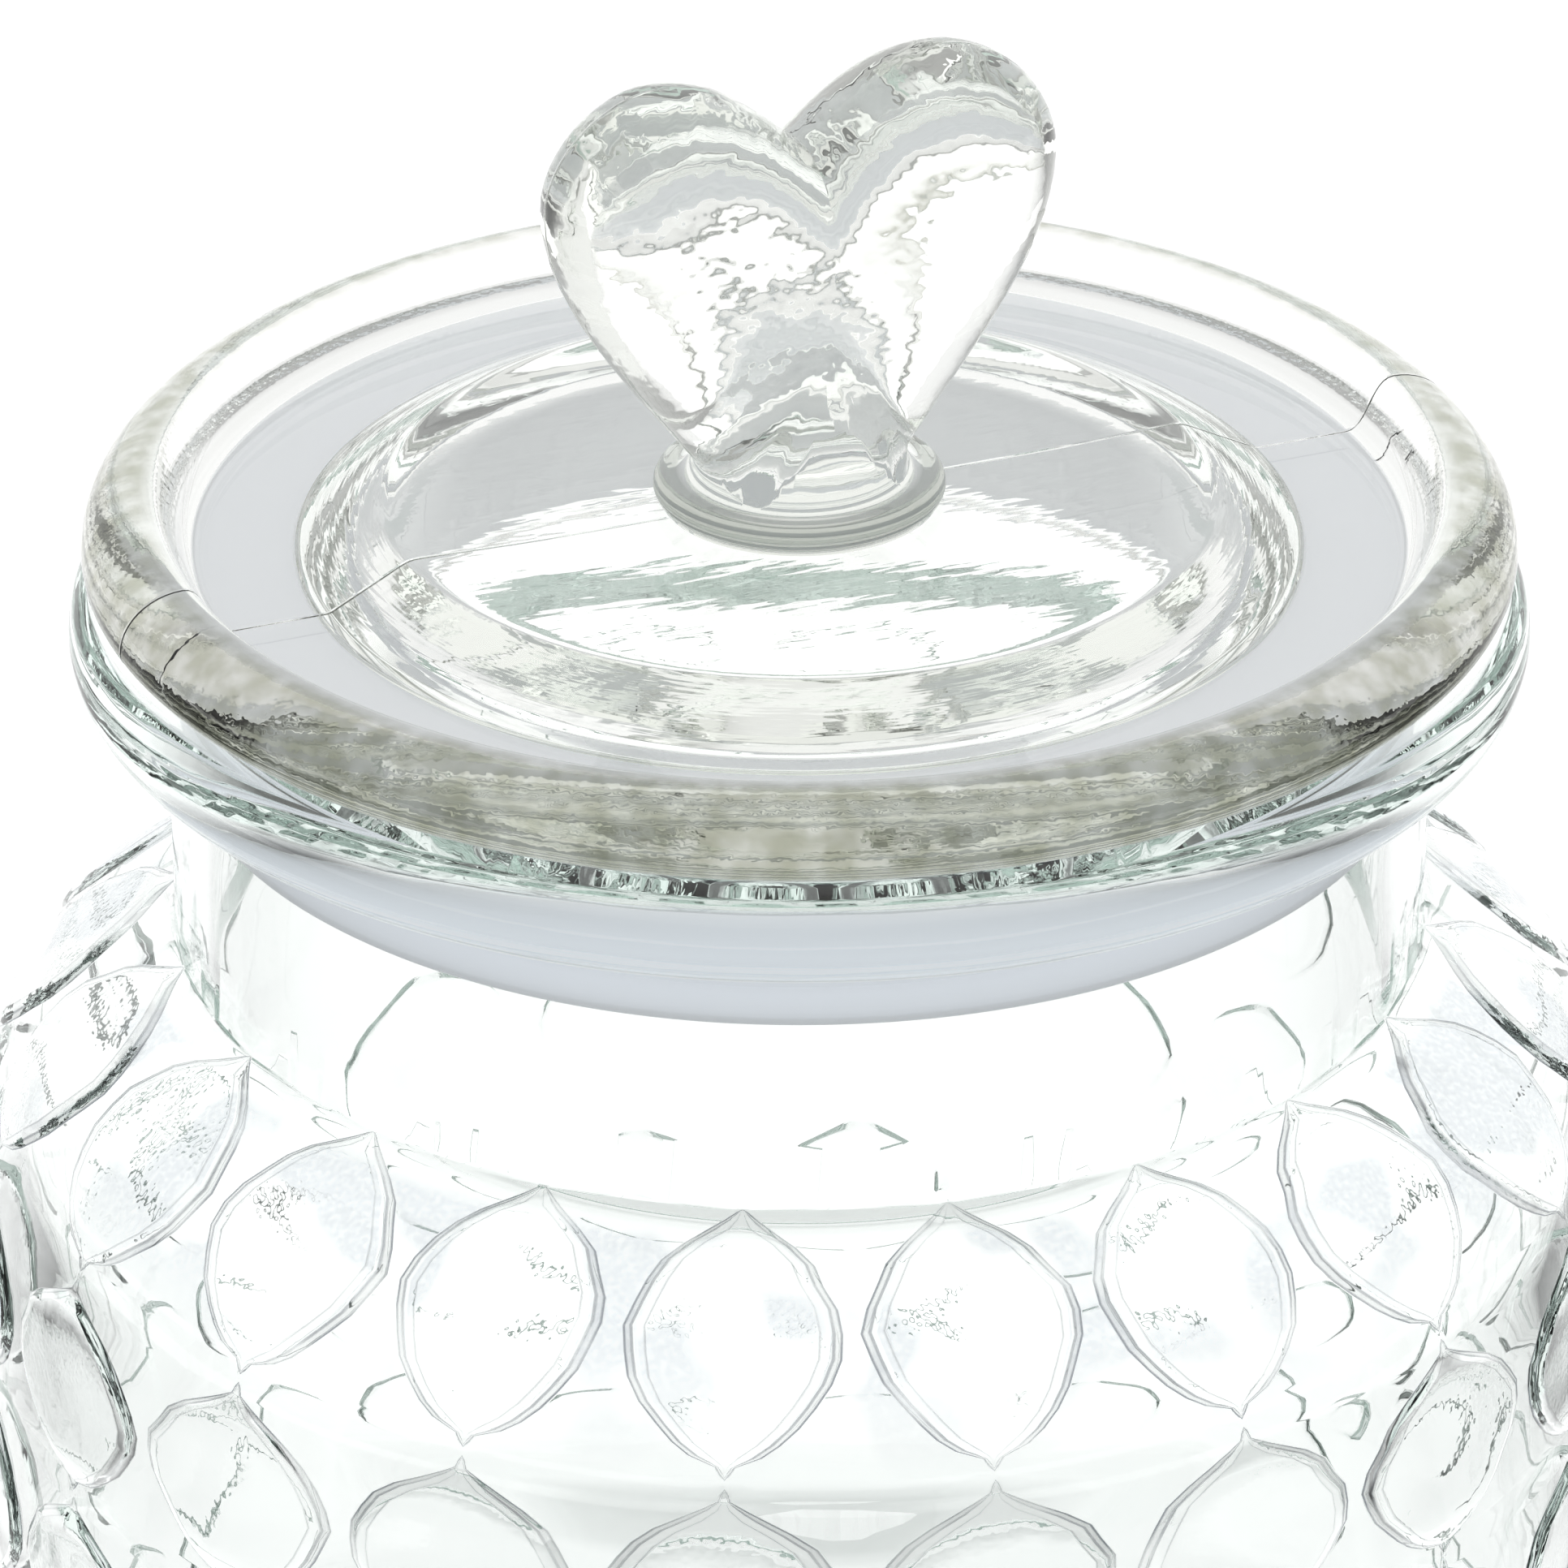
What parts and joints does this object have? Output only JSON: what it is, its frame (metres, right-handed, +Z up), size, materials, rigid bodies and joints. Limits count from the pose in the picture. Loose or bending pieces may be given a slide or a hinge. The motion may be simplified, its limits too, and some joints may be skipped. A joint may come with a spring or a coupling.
{
  "type": "glass storage jar",
  "caption": "Round pressed-glass storage jar with rows of raised leaf panels, a beaded neck, a soft seal ring and a lift-off glass lid with a heart-shaped knob.",
  "frame": {"origin": "centre of the circle that the jar stands on, at the height of the surface it stands on", "axes": "+Z up along the jar's axis; the heart knob lies in the XZ plane, so -Y looks at its broad front"},
  "size_m": [0.124, 0.124, 0.1653],
  "materials": {
    "body_glass": "clear pressed glass with a faint green tint, fire-polished",
    "seal_plastic": "milky translucent soft plastic",
    "lid_glass": "clear pressed glass, grey-green in its thick edge"
  },
  "bodies": {
    "jar": {"jar_body": "body_glass"},
    "seal": {"seal_ring": "seal_plastic"},
    "lid": {"lid": "lid_glass"}
  },
  "joints": [
    {"name": "lid_lift", "type": "slide", "parent": "jar", "child": "seal", "axis": [0, 0, 1], "range_m": [0, 0.12]},
    {"name": "lid_turn", "type": "hinge", "parent": "seal", "child": "lid", "pos_m": [0, 0, 0.125], "axis": [0, 0, 1], "continuous": true}
  ]
}
